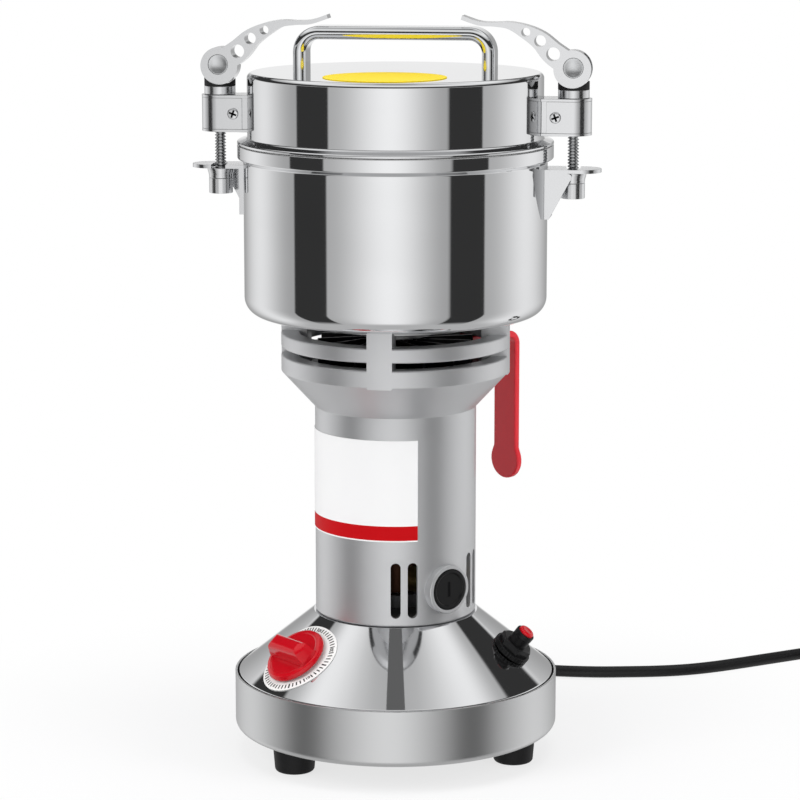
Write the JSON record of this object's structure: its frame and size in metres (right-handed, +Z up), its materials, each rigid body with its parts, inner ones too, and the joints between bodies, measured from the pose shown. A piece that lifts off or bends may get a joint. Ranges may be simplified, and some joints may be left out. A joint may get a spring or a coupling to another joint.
{
  "type": "electric grain mill",
  "caption": "Stand type electric grain mill: round base with timer and reset button, motor column with carry handle, steel pot and lid held by cam latches.",
  "frame": {"origin": "on the motor's axis, on the plane that the rubber feet stand on", "axes": "+Z up along the motor's axis, -Y towards the front with the label, +X towards the right-hand latch"},
  "size_m": [0.4974, 0.3483, 0.4111],
  "materials": {
    "brushed_steel": "brushed",
    "polished_steel": "mirror polished",
    "latch_steel": "polished",
    "cast_paint": "satin silver-grey paint",
    "machined_aluminium": "machined",
    "rubber_black": "matt",
    "plastic_black": "moulded, satin",
    "plastic_red": "glossy",
    "vinyl_red": "dipped, glossy",
    "plastic_white": "printed, satin",
    "label_white": "bare film with a red band",
    "label_yellow": "bare film",
    "silicone": "matt",
    "bearing_steel": "ground",
    "core_steel": "laminated",
    "copper": "enamelled wire",
    "brass": "drawn",
    "carbon": "pressed",
    "cord_jacket": "smooth, satin"
  },
  "bodies": {
    "stand": {"base_ring": "brushed_steel", "base_cone": "polished_steel", "base_plate": "machined_aluminium", "rubber_feet": "rubber_black", "foot_screws": "bearing_steel", "timer_body": "plastic_white", "timer_nut": "bearing_steel", "timer_dial": "plastic_white", "breaker_body": "plastic_black", "breaker_ring_nut": "plastic_black", "breaker_hex_nut": "plastic_black", "cord_gland": "plastic_black", "power_cord": "cord_jacket", "cord_coil": "cord_jacket", "plug": "plastic_black", "plug_blades": "bearing_steel", "motor_housing": "cast_paint", "label_plate": "label_white", "brush_caps": "plastic_black", "brush_holders": "brass", "carbon_brushes": "carbon", "brush_springs": "bearing_steel", "stator_core": "core_steel", "stator_coils": "copper", "bearing_bracket": "machined_aluminium", "lower_bearing": "bearing_steel", "bearing_plate": "machined_aluminium", "upper_bearing": "bearing_steel", "carry_handle": "vinyl_red", "housing_screws": "bearing_steel", "pot": "polished_steel", "fork_brackets": "latch_steel", "shaft_seal": "rubber_black"},
    "rotor": {"motor_shaft": "bearing_steel", "armature": "core_steel", "commutator": "copper", "cooling_fan": "plastic_black", "blade_spacer": "bearing_steel", "blades": "bearing_steel", "blade_nut": "bearing_steel"},
    "timer": {"timer_shaft": "bearing_steel", "timer_knob": "plastic_red"},
    "reset_button": {"breaker_button": "plastic_red"},
    "lid": {"lid": "polished_steel", "lid_seal": "silicone", "lid_handle": "polished_steel", "lid_disc": "label_yellow", "latch_blocks": "latch_steel", "latch_straps": "latch_steel", "strap_screws": "latch_steel", "latch_collars": "latch_steel", "cam_pads": "rubber_black"},
    "rod_right": {"rod_right": "latch_steel", "cross_pin_right": "latch_steel"},
    "rod_left": {"rod_left": "latch_steel", "cross_pin_left": "latch_steel"},
    "lever_right": {"lever_right": "latch_steel"},
    "lever_left": {"lever_left": "latch_steel"},
    "nut_right": {"clamp_nut_right": "latch_steel"},
    "nut_left": {"clamp_nut_left": "latch_steel"}
  },
  "joints": [
    {"name": "rotor_spin", "type": "hinge", "parent": "stand", "child": "rotor", "pos_m": [0, 0, 0.2], "axis": [0, 0, 1], "continuous": true},
    {"name": "timer_turn", "type": "hinge", "parent": "stand", "child": "timer", "pos_m": [-0.04725, -0.04893, 0.0628], "axis": [0.4389, 0.4545, -0.7751], "range_deg": [0, 300]},
    {"name": "reset_press", "type": "slide", "parent": "stand", "child": "reset_button", "axis": [-0.6156, 0.1421, -0.7751], "range_m": [0, 0.0018], "stiffness_N_per_m": 600},
    {"name": "lid_turn", "type": "hinge", "parent": "stand", "child": "lid", "pos_m": [0, 0, 0.36], "axis": [0, 0, 1], "range_deg": [0, 24]},
    {"name": "rod_right_drop", "type": "slide", "parent": "lid", "child": "rod_right", "axis": [0, 0, 1], "range_m": [-0.00147, 0]},
    {"name": "lever_right_flip", "type": "hinge", "parent": "rod_right", "child": "lever_right", "pos_m": [0.097, 0, 0.38364], "axis": [0, 1, 0], "range_deg": [0, 110]},
    {"name": "nut_right_turn", "type": "hinge", "parent": "rod_right", "child": "nut_right", "pos_m": [0.097, 0, 0.32], "axis": [0, 0, 1], "continuous": true},
    {"name": "rod_left_drop", "type": "slide", "parent": "lid", "child": "rod_left", "axis": [0, 0, 1], "range_m": [-0.00147, 0]},
    {"name": "lever_left_flip", "type": "hinge", "parent": "rod_left", "child": "lever_left", "pos_m": [-0.097, 0, 0.38364], "axis": [0, -1, 0], "range_deg": [0, 110]},
    {"name": "nut_left_turn", "type": "hinge", "parent": "rod_left", "child": "nut_left", "pos_m": [-0.097, 0, 0.32], "axis": [0, 0, 1], "continuous": true}
  ],
  "couplings": [
    {"joint": "lever_right_flip", "follows": "rod_right_drop", "rad_per_m": -1302.1},
    {"joint": "lever_left_flip", "follows": "rod_left_drop", "rad_per_m": -1302.1}
  ]
}
